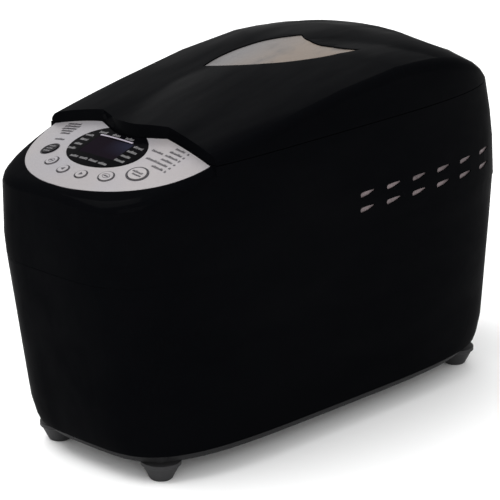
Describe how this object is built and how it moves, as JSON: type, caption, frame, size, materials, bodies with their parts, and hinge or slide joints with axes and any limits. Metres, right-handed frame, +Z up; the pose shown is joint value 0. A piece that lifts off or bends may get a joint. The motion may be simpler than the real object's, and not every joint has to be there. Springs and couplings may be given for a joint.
{
  "type": "bread machine",
  "caption": "Tall black kitchen bread machine with a tilted silver front control panel, rear-hinged windowed lid, lift-out pan and belt-driven kneading paddle.",
  "frame": {"origin": "middle of the footprint, on the surface the feet stand on", "axes": "+Z up, -Y towards the control panel, +X to the right of a person facing the panel"},
  "size_m": [0.2, 0.4795, 0.316],
  "materials": {
    "gloss_black": "glossy moulded black",
    "matte_black": "fine-grained moulded black",
    "foot_rubber": "soft black rubber",
    "silver_overlay": "satin silver overlay",
    "display_gloss": "smoked display window",
    "lcd": "dark liquid-crystal cell",
    "button_silver": "satin silver key",
    "button_black": "black key",
    "circuit_board": "green laminate",
    "electric_parts": "mixed component bodies",
    "bright_steel": "bright plated steel",
    "plated_sheet": "zinc-plated sheet",
    "bright_aluminium": "bright rolled sheet",
    "cast_aluminium": "die-cast, tumbled",
    "nonstick_coating": "dark non-stick coating with fine speckle",
    "window_glass": "clear pane with a pale sheen",
    "inner_glass": "clear tempered glass",
    "gasket_black": "black silicone",
    "seal_red": "red silicone",
    "element_sheath": "heat-tinted steel sheath",
    "ceramic_white": "unglazed steatite",
    "bush_bronze": "sintered bronze",
    "pulley_plastic": "glass-filled black nylon",
    "belt_rubber": "toothed black rubber"
  },
  "bodies": {
    "root": {"base_tray": "matte_black", "feet": "foot_rubber", "foot_screws": "bright_steel", "lower_shell": "gloss_black", "upper_housing": "gloss_black", "vent_screens": "bright_aluminium", "panel_overlay": "silver_overlay", "display_lens": "display_gloss", "lcd_module": "lcd", "control_board": "circuit_board", "tact_switches": "electric_parts", "hinge_brackets": "plated_sheet", "hinge_pins": "bright_steel", "chamber_liner": "plated_sheet", "chamber_rim": "bright_aluminium", "heating_element": "element_sheath", "element_insulators": "ceramic_white", "element_clips": "plated_sheet", "temperature_sensor": "element_sheath", "pan_socket": "plated_sheet", "bearing_housing": "plated_sheet", "upper_bush": "bush_bronze", "lower_bush": "bush_bronze", "drive_belt": "belt_rubber", "motor_body": "plated_sheet", "motor_grommets": "gasket_black", "chassis_plate": "plated_sheet", "chassis_posts": "plated_sheet", "chassis_screws": "bright_steel", "power_board": "circuit_board", "board_parts": "electric_parts", "cord_gland": "matte_black"},
    "lid": {"lid_shell": "gloss_black", "lid_inner_panel": "bright_aluminium", "window_pane": "window_glass", "window_gasket": "gasket_black", "lid_inner_glass": "inner_glass", "lid_seal": "gasket_black", "lid_hinge_leaves": "plated_sheet"},
    "pan": {"bread_pan": "nonstick_coating", "bail_ears": "cast_aluminium", "pan_base_ring": "cast_aluminium", "pan_bush": "bush_bronze", "shaft_seal": "seal_red"},
    "bail": {"bail_handle": "bright_steel"},
    "paddle": {"paddle_shaft": "bright_steel", "kneading_paddle": "nonstick_coating", "wing_coupling": "cast_aluminium"},
    "drive": {"drive_dog": "cast_aluminium", "drive_shaft": "bright_steel", "circlip": "bright_steel", "drive_pulley": "pulley_plastic"},
    "motor_rotor": {"motor_pulley": "cast_aluminium", "motor_shaft": "bright_steel"},
    "program_button_key": {"program_button": "button_black"},
    "size_button_key": {"size_button": "button_silver"},
    "time_up_button_key": {"time_up_button": "button_silver"},
    "time_down_button_key": {"time_down_button": "button_silver"},
    "crust_button_key": {"crust_button": "button_silver"},
    "start_button_key": {"start_button": "button_silver"}
  },
  "joints": [
    {"name": "lid_hinge", "type": "hinge", "parent": "root", "child": "lid", "pos_m": [0, 0.195, 0.276], "axis": [-1, 0, 0], "range_deg": [0, 85]},
    {"name": "pan_lift", "type": "slide", "parent": "root", "child": "pan", "axis": [0, 0, 1], "range_m": [0, 0.15]},
    {"name": "bail_hinge", "type": "hinge", "parent": "pan", "child": "bail", "pos_m": [0, 0.03, 0.234], "axis": [-1, 0, 0], "range_deg": [0, 82]},
    {"name": "drive_spin", "type": "hinge", "parent": "root", "child": "drive", "pos_m": [0, 0.03, 0.05], "axis": [0, 0, 1], "continuous": true},
    {"name": "motor_spin", "type": "hinge", "parent": "root", "child": "motor_rotor", "pos_m": [0, -0.14, 0.05], "axis": [0, 0, 1], "continuous": true},
    {"name": "paddle_spin", "type": "hinge", "parent": "pan", "child": "paddle", "pos_m": [0, 0.03, 0.1], "axis": [0, 0, 1], "continuous": true},
    {"name": "program_button_press", "type": "slide", "parent": "root", "child": "program_button_key", "axis": [0.1344, 0.3051, -0.9428], "range_m": [0, 0.0008], "stiffness_N_per_m": 400},
    {"name": "size_button_press", "type": "slide", "parent": "root", "child": "size_button_key", "axis": [0.0836, 0.3068, -0.9481], "range_m": [0, 0.0008], "stiffness_N_per_m": 400},
    {"name": "time_up_button_press", "type": "slide", "parent": "root", "child": "time_up_button_key", "axis": [0.0275, 0.3077, -0.9511], "range_m": [0, 0.0008], "stiffness_N_per_m": 400},
    {"name": "time_down_button_press", "type": "slide", "parent": "root", "child": "time_down_button_key", "axis": [-0.0275, 0.3077, -0.9511], "range_m": [0, 0.0008], "stiffness_N_per_m": 400},
    {"name": "crust_button_press", "type": "slide", "parent": "root", "child": "crust_button_key", "axis": [-0.0836, 0.3068, -0.9481], "range_m": [0, 0.0008], "stiffness_N_per_m": 400},
    {"name": "start_button_press", "type": "slide", "parent": "root", "child": "start_button_key", "axis": [-0.1344, 0.3051, -0.9428], "range_m": [0, 0.0008], "stiffness_N_per_m": 400}
  ],
  "couplings": [
    {"joint": "pan_lift", "follows": "lid_hinge", "m_per_rad": 0.1},
    {"joint": "bail_hinge", "follows": "lid_hinge", "ratio": 0.95},
    {"joint": "motor_spin", "follows": "drive_spin", "ratio": 4.6667},
    {"joint": "paddle_spin", "follows": "drive_spin", "ratio": 1}
  ]
}
